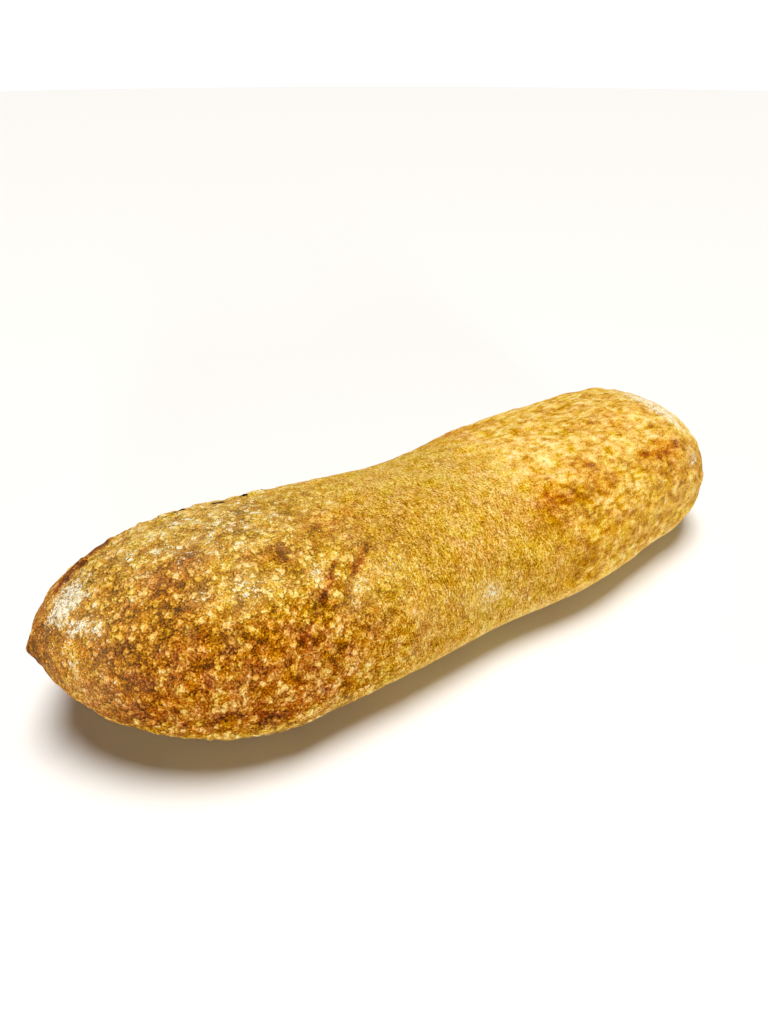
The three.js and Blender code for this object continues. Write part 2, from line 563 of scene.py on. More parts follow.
    def _pebbles(self, skin: Array) -> Array:
        """Heights of the pebbles, 0 to 1: two sizes of domes, drawn out of line by noise."""
        moved = self.pebble_bend.moved(skin)
        return between((self.pebble.at(moved), self.grain.at(moved)), self.grain_share)

    def _wrinkles(self, skin: Array) -> Array:
        """Wrinkles along the loaf, about -1 to 1: folded noise that is longer than wide, and finer noise."""
        folded = np.abs(self.wrinkle.at(self.wrinkle_bend.moved(skin))) ** self.wrinkle_sharpness
        return 1.0 - 2.0 * folded + self.crinkle.at(self.crinkle_bend.moved(skin))


# ---- The colours of the crust ----


@dataclass(frozen=True)
class BakeMap:
    """How brown, floury, burnt and orange the crust is from place to place.

    The last two numbers of a crease are its radius and how much browner it is.
    """

    browner: tuple[Patch, ...] = patches(
        (0.00, 90, 6, 8, 0.17), (0.015, 110, 5, 16, 0.09), (0.13, 104, 6, 5, 0.20), (0.16, 97, 8, 3, 0.20),
        (0.24, 109, 5, 4, 0.22), (0.29, 104, 6, 3, 0.16), (0.13, 165, 14, 8, 0.06),
        (0.15, 158, 12, 6, 0.07), (0.49, 155, 12, 6, 0.08), (0.65, 142, 14, 7, 0.07),
        (0.775, 112, 8, 6, 0.08), (0.875, 127, 7, 7, 0.09), (0.83, 157, 10, 6, 0.06),
        (0.25, 155, 13, 9, 0.05), (0.185, 181, 9, 5, 0.18), (0.056, 184, 8, 4, 0.16),
        (0.09, 126, 14, 8, 0.14), (0.068, 181, 5, 3, 0.18), (0.120, 181, 9, 3, 0.18),
        (0.60, 131, 9, 8, 0.15), (0.58, 145, 9, 10, 0.14), (0.685, 121, 8, 4, 0.12),
        (0.70, 132, 6, 5, 0.14), (0.83, 136, 8, 4, 0.08), (0.89, 140, 8, 10, 0.14),
        (0.625, 172, 9, 8, 0.18), (0.80, 160, 16, 8, 0.08), (0.655, 140, 16, 8, 0.14),
        (0.60, 180, 16, 8, 0.12), (0.825, 157, 12, 8, 0.08), (0.015, 112, 6, 10, 0.10),
        # the browner patches at 0.35 of the length, 113 degrees, and at 0.41, 124 degrees, are partly painted
        # shadow of a cut half that rests on the loaf there, and partly the crust's own tone
        (0.05, 155, 12, 10, 0.06), (0.93, 166, 12, 14, 0.13), (0.35, 113, 17, 9, 0.10),
        (0.41, 124, 12, 8, 0.07), (0.137, 111, 6, 4, 0.07), (0.003, 112, 3, 6, 0.14),
        # the side that faces +Y
        (0.20, 30, 26, 16, 0.04), (0.45, 20, 24, 14, 0.12), (0.62, 48, 16, 10, 0.18),
        (0.85, 25, 20, 14, 0.16),
    )
    paler: tuple[Patch, ...] = patches(
        # the paler patch at 0.18 of the length, 62 degrees, is painted light that lifts the crest's back
        # where it is seen at a grazing angle along the outline
        (0.18, 86, 34, 22, 0.13), (0.18, 62, 30, 12, 0.12), (0.19, 121, 9, 6, 0.05),
        (0.265, 123, 6, 5, 0.18), (0.305, 134, 5, 4, 0.16), (0.35, 135, 9, 6, 0.08),
        (0.02, 160, 14, 20, 0.13), (0.16, 172, 34, 10, 0.05), (0.21, 174, 40, 8, 0.10),
        (0.10, 176, 22, 9, 0.12), (0.275, 157, 8, 6, 0.06), (0.275, 186, 12, 6, 0.10),
        # the paler patches at 0.13, 55 degrees, and 0.27, 52 degrees, are painted light too, on the crest's
        # back along the outline
        (0.03, 60, 8, 8, 0.14), (0.13, 55, 40, 8, 0.12), (0.27, 52, 12, 6, 0.12), (0.225, 108, 8, 7, 0.14),
        (0.32, 112, 8, 7, 0.08), (0.675, 97, 10, 8, 0.08), (0.225, 188, 14, 6, 0.10),
        (0.77, 124, 8, 6, 0.16), (0.67, 172, 8, 8, 0.08), (0.625, 127, 5, 4, 0.08),
        (0.925, 134, 9, 9, 0.18), (0.465, 168, 8, 7, 0.14), (0.70, 140, 12, 7, 0.10),
        (0.60, 108, 16, 10, 0.12), (0.93, 112, 10, 14, 0.16), (0.70, 40, 24, 18, 0.14),
        (0.35, 45, 24, 18, 0.12), (0.09, 100, 7, 5, 0.14), (0.05, 178, 10, 4, 0.08),
        (0.10, 173, 11, 5, 0.08), (0.066, 134, 7, 5, 0.08),
    )
    floured: tuple[Patch, ...] = patches(
        # a thin film of flour along the crest, the tip and the ends; along the crest it is partly painted
        # whitish sheen
        (0.19, 84, 45, 24, 0.26), (0.01, 110, 9, 14, 0.08), (0.03, 160, 16, 16, 0.12),
        (0.965, 124, 9, 18, 0.30), (0.96, 106, 12, 22, 0.20),
        # the dusted ridge round the far end
        (0.897, 84, 5, 8, 0.28), (0.90, 97, 5, 8, 0.28), (0.903, 109, 4.5, 8, 0.28),
        (0.903, 119, 4, 7, 0.26), (0.85, 170, 44, 14, 0.12), (0.88, 98, 34, 20, 0.12),
        # two lobes on the near tip
        (0.043, 89, 4.8, 5, 0.60), (0.052, 78, 5, 5, 0.34), (0.028, 94, 3, 4, 0.30),
        (0.041, 110, 6, 2.6, 0.44), (0.055, 116, 4.5, 2.6, 0.30), (0.33, 116, 20, 10, 0.05),
        (0.035, 158, 8, 10, 0.05), (0.192, 122, 7, 5, 0.20), (0.21, 121, 8, 5, 0.12),
        (0.152, 118, 3, 3, 0.22), (0.268, 123, 4, 3, 0.22), (0.305, 136, 4, 4, 0.20),
        (0.35, 135, 8, 6, 0.16), (0.29, 144, 4, 4, 0.16), (0.373, 163, 6, 8, 0.14),
        (0.422, 166, 5, 5, 0.14), (0.466, 168, 6, 6, 0.34), (0.92, 112, 8, 14, 0.16),
        (0.95, 138, 5, 8, 0.24), (0.89, 147, 6, 7, 0.20), (0.70, 124, 6, 8, 0.10), (0.30, 30, 30, 14, 0.20),
        (0.80, 35, 26, 14, 0.20),
    )
    burnt: tuple[Patch, ...] = patches(
        (0.241, 64, 2.8, 2.0, 1.0), (0.276, 60, 1.9, 1.6, 0.9), (0.303, 58, 1.4, 1.2, 0.7),
        (0.192, 59, 2.0, 1.6, 0.8), (0.176, 60, 1.6, 1.4, 0.8), (0.134, 105, 1.6, 1.4, 0.45),
    )
    oranger: tuple[Patch, ...] = patches(
        (0.315, 125, 4, 4, 0.5), (0.278, 130, 3, 4, 0.4), (0.13, 106, 9, 8, 0.6), (0.15, 97, 16, 11, 0.45),
        (0.31, 100, 10, 7, 0.35), (0.47, 142, 10, 7, 0.4), (0.32, 172, 20, 9, 0.40),
        (0.40, 172, 14, 7, 0.25), (0.20, 182, 16, 5, 0.3), (0.34, 102, 12, 7, 0.25),
        (0.53, 120, 20, 14, 0.25), (0.24, 109, 6, 5, 0.5), (0.60, 131, 9, 8, 0.6), (0.69, 130, 8, 7, 0.5),
        (0.839, 135, 10, 8, 0.6), (0.807, 106, 14, 12, 0.35), (0.62, 45, 16, 12, 0.7),
    )
    # the creases are browner and oranger where the crust folds in: partly the crust's own colour, partly
    # painted shade in the folds; the seam along the back of the near end is the crust's own colour
    creases: tuple[Fold, ...] = (
        Fold((0.340, 119), (0.308, 129), 1.9, 0.34),
        Fold((0.308, 129), (0.288, 138), 1.6, 0.24),
        Fold((0.294, 121), (0.259, 137), 1.9, 0.34),
        Fold((0.222, 150), (0.236, 146), 3.0, 0.24),
        Fold((0.680, 116), (0.693, 123), 2.2, 0.26),
        Fold((0.785, 131), (0.818, 139), 3.0, 0.20),
        Fold((0.67, 118), (0.70, 126), 5.0, 0.10),
        Fold((0.77, 129), (0.86, 137), 5.0, 0.09),
        Fold((0.155, 98), (0.170, 96), 2.4, 0.24),
        Fold((0.62, 134), (0.60, 128), 4.0, 0.12),
        # the brown seam along the back of the near end
        Fold((0.045, 61), (0.075, 57), 5.0, 0.34),
        Fold((0.075, 57), (0.112, 49), 5.0, 0.36),
    )
    own_levels: tuple[Pair, ...] = ((0.2, 0.405), (0.42, 0.32), (0.6, 0.27))  # by share of the length
    limits: Pair = (-0.1, 0.95)
    slow: Noise = Noise(22.0, seed=61, layers=2, strength=0.05)
    cloud: Noise = Noise(8.0, seed=65, layers=3)
    cloud_strength: float = 0.05
    cloud_more: float = 0.01
    # the pebbles, blobs and wrinkles are paler on top and browner between: partly the crust's own colour,
    # partly painted light on the tops and painted shade in the hollows
    pebble_paler: Step = Step(0.15, 0.6, 0.075, -0.075)
    blob_paler: Step = Step(0.15, 0.5, 0.12, -0.04)
    wrinkle_paler: float = 0.11
    crest_paler: Step = Step(38.0, 60.0, 0.08)
    # the lower rim is paler: partly painted light bounced from the floor, partly the crust under its dusting
    # of flour
    rim_paler: Step = Step(20.0, 11.0, 0.15)
    rim_flour: Step = Step(20.0, 11.0, 0.34)
    foot_flour: Step = Step(4.5, 0.5, 0.4)
    flour_gain: float = 2.4
    flour_grain: Noise = Noise(4.0, seed=81, layers=2, strength=0.22)
    flour_uneven: Step = Step(0.0, 0.4)
    near_orange: Step = Step(0.36, 0.2, 0.8)
    far_orange: float = 0.2
    # creases lean to orange partly as painted shade in the folds
    crease_orange: float = 1.6
    orange_heights: tuple[Step, Step] = (Step(10.0, 28.0), Step(66.0, 38.0))
    char_grain: Noise = Noise(1.6, seed=85, strength=0.6)

    def bake(self, form: LoafForm, crust: CrustSample) -> Array:
        """Judges how brown each place is, 0 pale to 1 dark.

        The loaf's own level falls from the near end to the far one. Slow noise, patches and creases change
        it; the creases are partly painted shade. The hollows of the relief are browner than its tops, partly
        as painted shade in the hollows and painted light on the tops, and the lower rim is paler, partly as
        painted light bounced from the floor.

        Args:
            form: the loaf.
            crust: the places.

        Returns:
            The levels.
        """
        points, height = crust.skin, crust.skin[:, 2]
        level = np.interp(crust.along, *zip(*self.own_levels)) + self.slow.at(points)
        clouds = self.cloud_strength + self.cloud_more * (crust.near + crust.far)
        level += clouds * self.cloud.at(points) + added(self.creases, form, points)
        level += added(self.browner, form, points) - added(self.paler, form, points)
        # painted light on the relief's tops and painted shade in its hollows, with the crust's own colour
        level -= crust.near * (self.pebble_paler.at(crust.pebbles) + self.blob_paler.at(crust.blobs))
        level -= crust.far * self.wrinkle_paler * crust.wrinkles
        # paler towards the floor, partly as painted bounce light
        return np.clip(level - self.crest_paler.at(height) - self.rim_paler.at(height), *self.limits)

    def flour(self, form: LoafForm, points: Array) -> Array:
        """Judges how floury each point is: the patches, the lower rim and the underside.

        Args:
            form: the loaf.
            points: places on its skin.

        Returns:
            Shares from 0 to 1.
        """
        total = 1.0 - np.exp(-self.flour_gain * added(self.floured, form, points))
        total += self.flour_uneven.at(total) * self.flour_grain.at(points)
        rim = self.rim_flour.at(points[:, 2]) + self.foot_flour.at(points[:, 2])
        return np.clip(np.maximum(total, rim), 0.0, 1.0)

    def orange(self, form: LoafForm, crust: CrustSample) -> Array:
        """Judges how far the brown leans to orange: the lower near end and the creases most.

        Args:
            form: the loaf.
            crust: the places.

        Returns:
            Shares from 0 to 1.
        """
        points = crust.skin
        lower = self.near_orange.at(crust.along)
        for heights in self.orange_heights:
            lower = lower * heights.at(points[:, 2])
        total = lower + self.crease_orange * added(self.creases, form, points) + self.far_orange * crust.far
        return np.clip(total + added(self.oranger, form, points), 0.0, 1.0)

    def char(self, form: LoafForm, points: Array) -> Array:
        """How burnt each point is, 0 to 1, with ragged edges."""
        return np.clip(added(self.burnt, form, points) * (1.0 + self.char_grain.at(points)), 0.0, 1.0)


# ---- Node trees ----


def light_of(colour: Colour) -> Light:
    """A screen colour of three numbers up to 255 as linear light, by the sRGB curve."""
    c = np.asarray(colour, float) / 255.0
    return (*np.where(c <= 0.04045, c / 12.92, ((c + 0.055) / 1.055) ** 2.4).tolist(), 1.0)


class Tone(Enum):
    """The crust's colours, from flour to char; the ramp of the bake runs from MILK to UMBER."""

    FLOUR = (254, 249, 226)
    DUST = (252, 227, 148)
    MILK = (255, 231, 168)
    CREAM = (248, 208, 128)
    STRAW = (243, 190, 96)
    GOLD = (226, 168, 64)
    HONEY = (207, 143, 38)
    AMBER = (190, 122, 20)
    CARAMEL = (170, 102, 10)
    BROWN = (148, 84, 3)
    DARK = (113, 60, 0)
    UMBER = (74, 36, 2)
    CHAR = (26, 17, 11)

    @property
    def light(self) -> Light:
        """The tone as linear light."""
        return light_of(self.value)


class Mark(Enum):
    """Names of the crust's own point values."""

    BAKE = "bake"
    FLOUR = "flour"
    CHAR = "char"
    PEBBLED = "pebbled"
    WRINKLED = "wrinkled"
    ORANGE = "orange"


@dataclass(frozen=True)
class Pattern:
    """Noise from 0 to 1 for the nodes, and what it does.

    The bend is the width and reach of noise that draws it out of line, and the stretch is how far it is
    drawn out along X and across. The strength is what it adds from its least to its most, and the lift
    is the height that it adds. Lengths are millimetres.
    """

    width: float
    detail: float = 2.0
    roughness: float = 0.5
    bend: Pair | None = None
    stretch: Pair | None = None
    strength: float = 1.0
    lift: float = 0.0


class NodeBench:
    """Lays nodes in one tree and joins them, with sockets or plain values as inputs."""

    def __init__(self, tree: bpy.types.NodeTree) -> None:
        """Starts on an empty tree."""
        self.tree = tree
        tree.nodes.clear()

    @classmethod
    def material(cls, name: str) -> tuple[Material, NodeBench]:
        """Makes a new material.

        Args:
            name: its name.

        Returns:
            The material, and a bench on its empty tree.
        """
        material = bpy.data.materials.new(name)
        material.use_nodes = True
        return material, cls(material.node_tree)

    def add(self, kind: str, inputs: dict | None = None, **settings: object) -> bpy.types.Node:
        """Lays one node.

        Args:
            kind: its Blender type, without the ShaderNode of most.
            inputs: sockets or plain values, by the name or number of the input.
            settings: its own properties.

        Returns:
            The node.
        """
        node = self.tree.nodes.new(kind if kind.startswith("NodeGroup") else "ShaderNode" + kind)
        for name, value in settings.items():
            setattr(node, name, value)
        for key, value in (inputs or {}).items():
            if isinstance(value, Socket):
                self.tree.links.new(value, node.inputs[key])
            else:
                node.inputs[key].default_value = value
        return node

    def maths(self, operation: str, *values: object, clamp: bool = False) -> Socket:
        """The result of a Math node on one to three values."""
        node = self.add("Math", dict(enumerate(values)), operation=operation, use_clamp=clamp)
        return node.outputs[0]

    def total(self, *values: object) -> Socket:
        """The sum of all values."""
        return reduce(partial(self.maths, "ADD"), values)

    def product(self, *values: object) -> Socket:
        """The product of all values."""
        return reduce(partial(self.maths, "MULTIPLY"), values)

    def swing(self, value: Socket, *strengths: object, middle: float = 0.5) -> Socket:
        """How far a value lies from its middle, times all strengths."""
        return self.product(self.maths("SUBTRACT", value, middle), *strengths)

    def step(self, value: Socket, step: Step) -> Socket:
        """A smooth step at a value."""
        inputs = {0: value, 1: step.start, 2: step.full, 3: step.least, 4: step.most}
        return self.add("MapRange", inputs, interpolation_type="SMOOTHSTEP").outputs[0]

    def bent(self, place: Socket, width: float, reach: float) -> Socket:
        """Moves a place by noise.

        Args:
            place: the place.
            width: the noise's width.
            reach: how far it moves the place, from end to end.

        Returns:
            The moved place.
        """
        noise = self.add("TexNoise", {"Vector": place, "Scale": 1.0 / (width * MM), "Detail": 1.0})
        start = self.add("VectorMath", {0: place, 1: (reach * MM / 2.0,) * 3}, operation="SUBTRACT")
        inputs = {0: noise.outputs["Color"], 1: (reach * MM,) * 3, 2: start.outputs[0]}
        return self.add("VectorMath", inputs, operation="MULTIPLY_ADD").outputs[0]

    def noise(self, place: Socket, pattern: Pattern) -> Socket:
        """Lays noise.

        Args:
            place: where to look.
            pattern: its form.

        Returns:
            A value from 0 to 1.
        """
        if pattern.bend:
            place = self.bent(place, *pattern.bend)
        if pattern.stretch:
            along, across = pattern.stretch
            scale = (1.0 / along, 1.0 / across, 1.0 / across)
            place = self.add("Mapping", {"Vector": place, "Scale": scale}).outputs[0]
        inputs = {"Vector": place, "Scale": 1.0 / (pattern.width * MM), "Detail": pattern.detail,
                  "Roughness": pattern.roughness}
        return self.add("TexNoise", inputs).outputs[0]

    def sway(self, place: Socket, pattern: Pattern) -> Socket:
        """Noise round 0, as strong as its pattern says."""
        return self.swing(self.noise(place, pattern), pattern.strength)

    def cells(self, place: Socket, width: float, bend: Pair, softness: float = 0.08) -> tuple[Socket, Socket]:
        """Lays rounded cells.

        Args:
            place: where to look.
            width: their mean width.
            bend: the width and reach of noise that draws them out of line.
            softness: how far neighbours blend.

        Returns:
            0 at their middles and towards 1 between them, and a number drawn for each.
        """
        inputs = {"Vector": self.bent(place, *bend), "Scale": 1.0 / (width * MM), "Smoothness": softness}
        node = self.add("TexVoronoi", inputs, feature="SMOOTH_F1")
        drawn = self.add("SeparateColor", {0: node.outputs["Color"]})
        return node.outputs["Distance"], drawn.outputs[0]

    def ramp(self, value: Socket, stops: tuple[tuple[float, Tone], ...]) -> Socket:
        """Lays a colour ramp.

        Args:
            value: what to judge.
            stops: values in rising order, with their tones.

        Returns:
            The colour.
        """
        start, end = stops[0][0], stops[-1][0]
        share = self.add("MapRange", {0: value, 1: start, 2: end}).outputs[0]
        node = self.add("ValToRGB", {0: share})
        elements = node.color_ramp.elements
        while len(elements) < len(stops):
            elements.new(1.0)
        for element, (at, tone) in zip(elements, stops):
            element.position = (at - start) / (end - start)
            element.color = tone.light
        return node.outputs[0]

    def blend(self, share: Socket, first: object, second: object) -> Socket:
        """Two colours mixed by a share from 0 to 1."""
        return self.add("Mix", {0: share, 6: first, 7: second}, data_type="RGBA").outputs[2]

    def surface(self, inputs: dict) -> None:
        """Ends a material with a Principled surface that has the given inputs."""
        shader = self.add("BsdfPrincipled", inputs)
        self.add("OutputMaterial", {"Surface": shader.outputs[0]})


@dataclass(frozen=True)
class CrustGrain:
    """The fine grain of the crust: pebbles and smaller beads with browner gaps, partly painted shade,
    streaks, ripples and specks.

    A gap is how dark the place is by its distance from a cell's middle, and a tone how much cells differ.
    """

    pebble_width: float = 3.0
    pebble_bend: Pair = (2.2, 2.3)
    pebble_gap: Step = Step(0.22, 0.54)
    pebble_tone: float = 0.18
    bead_width: float = 1.4
    bead_bend: Pair = (1.1, 0.9)
    bead_gap: Step = Step(0.2, 0.6, least=0.35)
    bead_tone: float = 0.13
    # the gaps are browner partly as the crust's own colour and partly as painted shade in the hollows between
    # pebbles
    gap_brown_and_shade: float = 0.41
    gap_middle: float = 0.46
    gap_lift: float = -0.85
    least_gritty: float = 0.2
    streak: Pattern = Pattern(1.0, 2.0, 0.6, (5.0, 2.0), (0.42, 1.7), strength=1.6, lift=-0.8)
    stroke: Pattern = Pattern(1.0, 1.0, 0.5, (7.0, 3.0), (1.1, 4.0), strength=0.45, lift=-0.9)
    ripple: Pattern = Pattern(1.8, 1.5, 0.5, (6.0, 3.0), (2.8, 0.9), strength=0.8, lift=-1.2)
    speck: Pattern = Pattern(0.62, 1.5, 0.65, strength=1.5, lift=-0.45)
    streaked_specks: float = 0.1
    wrinkled_specks: float = -0.45
    mottle: Pattern = Pattern(4.2, 1.5, 0.5, (6.0, 3.0), strength=0.95)
    streaked_mottle: float = -0.65

    def group(self) -> bpy.types.NodeTree:
        """Builds the grain as a node group, for crust that is streaked where it isn't pebbled or wrinkled.

        Returns:
            The group. Its outputs are a height in millimetres, a shade, above 0 where it is browner, and a
            tint for each pebble, above 0 where it leans to yellow.
        """
        tree = bpy.data.node_groups.new("crust_grain", "ShaderNodeTree")
        tree.interface.new_socket("Place", in_out="INPUT", socket_type="NodeSocketVector")
        for name in ("Pebbled", "Wrinkled"):
            tree.interface.new_socket(name, in_out="INPUT", socket_type="NodeSocketFloat")
        for name in ("Height", "Shade", "Tint"):
            tree.interface.new_socket(name, in_out="OUTPUT", socket_type="NodeSocketFloat")
        bench = NodeBench(tree)
        given = bench.add("NodeGroupInput")
        place, pebbled, wrinkled = (given.outputs[name] for name in ("Place", "Pebbled", "Wrinkled"))
        streaked = bench.maths("SUBTRACT", bench.maths("SUBTRACT", 1.0, pebbled), wrinkled, clamp=True)
        gritty = bench.total(self.least_gritty, bench.product(pebbled, 1.0 - self.least_gritty))

        pebble_away, pebble_tone = bench.cells(place, self.pebble_width, self.pebble_bend)
        bead_away, bead_tone = bench.cells(place, self.bead_width, self.bead_bend)
        gap = bench.product(bench.step(pebble_away, self.pebble_gap), bench.step(bead_away, self.bead_gap))
        lines = ((self.streak, streaked), (self.stroke, streaked), (self.ripple, wrinkled))
        lined = [(bench.noise(place, pattern), pattern, share) for pattern, share in lines]
        speck, mottle = bench.noise(place, self.speck), bench.noise(place, self.mottle)
        specks = bench.total(self.speck.strength, bench.product(streaked, self.streaked_specks),
                             bench.product(wrinkled, self.wrinkled_specks))
        mottling = bench.total(self.mottle.strength, bench.product(streaked, self.streaked_mottle))
        shade = bench.total(
            # painted shade in the gaps, with the crust's own browning
            bench.swing(gap, gritty, self.gap_brown_and_shade, middle=self.gap_middle),
            bench.swing(pebble_tone, gritty, self.pebble_tone),
            bench.swing(bead_tone, gritty, self.bead_tone),
            *(bench.swing(noise, share, pattern.strength) for noise, pattern, share in lined),
            bench.swing(speck, specks),
            bench.swing(mottle, mottling),
        )
        height = bench.total(
            bench.product(gap, gritty, self.gap_lift),
            *(bench.swing(noise, share, pattern.lift) for noise, pattern, share in lined),
            bench.swing(speck, self.speck.lift),
        )
        tint = bench.swing(pebble_tone, gritty)
        bench.add("NodeGroupOutput", {"Height": height, "Shade": shade, "Tint": tint})
        return tree


@dataclass(frozen=True)
class CrustFinish:
    """The baked crust: brown hollows, partly painted shade, golden tops, partly painted light, flour in
    patches, which also paints highlights on the grain's tops, and a few burnt spots.

    The steps of warmth, drift and roughness are of the level, which is the bake with the grain's shade.
    """

    name: str = "baked_crust"
    hue: Pattern = Pattern(4.0, 3.0, 0.65, strength=0.055)
    slow_hue: Pattern = Pattern(12.0, 2.0, 0.5, strength=0.035)
    drift: Step = Step(0.25, 0.6, 0.3, 1.0)
    warm_hue: float = -0.03
    warmth: Step = Step(0.1, 0.45, least=0.6)
    pebble_hue: float = 0.014
    purity: Pattern = Pattern(6.0, 3.0, 0.6, strength=0.25)
    haze: float = 0.32
    clots: Pattern = Pattern(1.1, 3.0, 0.75, strength=1.6)
    holes: Pattern = Pattern(0.9, 1.0, 0.6)
    hole_edge: Step = Step(0.36, 0.46)
    flour_edge: Step = Step(0.4, 0.66, 0.9)
    # more flour on the paler tops of the grain, partly painted whitish highlights
    flour_and_highlight_on_tops: float = -0.5
    flour_lift: float = 0.12
    flour_roughness: float = 0.3
    powder_edge: Step = Step(0.45, 0.9)
    char_edge: Step = Step(0.25, 0.6)
    roughness: Step = Step(0.2, 0.8, 0.5, 0.68)
    gloss: float = 0.02
    ramp: tuple[tuple[float, Tone], ...] = (
        (-0.20, Tone.MILK), (0.00, Tone.CREAM), (0.10, Tone.STRAW), (0.24, Tone.GOLD), (0.37, Tone.HONEY),
        (0.49, Tone.AMBER), (0.60, Tone.CARAMEL), (0.71, Tone.BROWN), (0.86, Tone.DARK), (1.00, Tone.UMBER),
    )

    def material(self, grain: bpy.types.NodeTree) -> Material:
        """Builds the material, which reads the crust's own point values.

        Args:
            grain: the group of the fine grain.

        Returns:
            The material.
        """
        material, bench = NodeBench.material(self.name)
        place = bench.add("TexCoord").outputs["Object"]
        bake, flour, char, pebbled, wrinkled, orange = (
            bench.add("Attribute", attribute_name=mark.value).outputs["Fac"] for mark in Mark
        )
        given = {"Place": place, "Pebbled": pebbled, "Wrinkled": wrinkled}
        height, shade, tint = bench.add("Group", given, node_tree=grain).outputs[:]
        level = bench.total(bake, shade)
        warm = bench.product(orange, bench.step(level, self.warmth))
        drift = bench.total(bench.sway(place, self.hue), bench.sway(place, self.slow_hue))
        drift = bench.product(drift, bench.step(level, self.drift))
        hue = bench.total(0.5, drift, bench.swing(warm, self.warm_hue), bench.product(tint, self.pebble_hue))
        pure = bench.total(1.0, bench.sway(place, self.purity))
        toned = {"Hue": hue, "Saturation": pure, "Color": bench.ramp(level, self.ramp)}
        baked = bench.add("HueSaturation", toned).outputs[0]

        holes = bench.step(bench.noise(place, self.holes), self.hole_edge)
        # flour gathers on the paler tops of the grain, which paints whitish highlights there as well as flour
        cover = bench.total(flour, bench.sway(place, self.clots), bench.product(shade, self.flour_and_highlight_on_tops))
        cover = bench.product(bench.step(cover, self.flour_edge), holes)
        cover = bench.maths("MAXIMUM", cover, bench.product(flour, self.haze))
        powder = bench.blend(bench.step(cover, self.powder_edge), Tone.DUST.light, Tone.FLOUR.light)
        powdered = bench.blend(cover, baked, powder)
        scorched = bench.blend(bench.step(char, self.char_edge), powdered, Tone.CHAR.light)

        rough = bench.step(level, self.roughness)
        rough = bench.maths("ADD", rough, bench.product(cover, self.flour_roughness), clamp=True)
        relief = bench.total(height, bench.product(cover, self.flour_lift))
        bump = bench.add("Bump", {"Height": relief, "Strength": 1.0, "Distance": MM})
        bench.surface({"Base Color": scorched, "Roughness": rough, "Normal": bump.outputs[0],
                       "Specular IOR Level": self.gloss})
        return material


@dataclass(frozen=True)
class BitFinish:
    """Loose bits: two tones mixed by noise."""

    name: str
    tones: tuple[Tone, Tone]
    grain: Pattern
    roughness: float
    mixing: Step = Step(0.35, 0.65)
    gloss: float = 0.1

    def material(self) -> Material:
        """Builds the material.

        Returns:
            The material.
        """
        material, bench = NodeBench.material(self.name)
        place = bench.add("TexCoord").outputs["Object"]
        share = bench.step(bench.noise(place, self.grain), self.mixing)
        tone = bench.blend(share, *(tone.light for tone in self.tones))
        bench.surface({"Base Color": tone, "Roughness": self.roughness, "Specular IOR Level": self.gloss})
        return material


# ---- Pieces ----

Mask = Callable[[LoafForm, Array], Array]


def mesh_piece(name: str, points: Array, faces: Array, material: Material) -> Object:
    """Links a smooth-shaded piece at the origin, with its place in its mesh.

    Args:
        name: its name.
        points: places in millimetres, shape (n, 3).
        faces: corner numbers, shape (m, 3) or wider.
        material: its finish.

    Returns:
        The piece.
    """
    mesh = bpy.data.meshes.new(name)
    mesh.from_pydata((points * MM).tolist(), [], faces.tolist(), shade_flat=False)
    mesh.materials.append(material)
    mesh.validate()
    piece = bpy.data.objects.new(name, mesh)
    bpy.context.scene.collection.objects.link(piece)
    return piece


def evenly(steps: Array, values: Array, count: int) -> Array:
    """A count of values that are evenly far apart by the steps between the given values."""
    length = np.concatenate([[0.0], np.cumsum(steps)])
    return np.interp(np.linspace(0.0, length[-1], count), length, values)


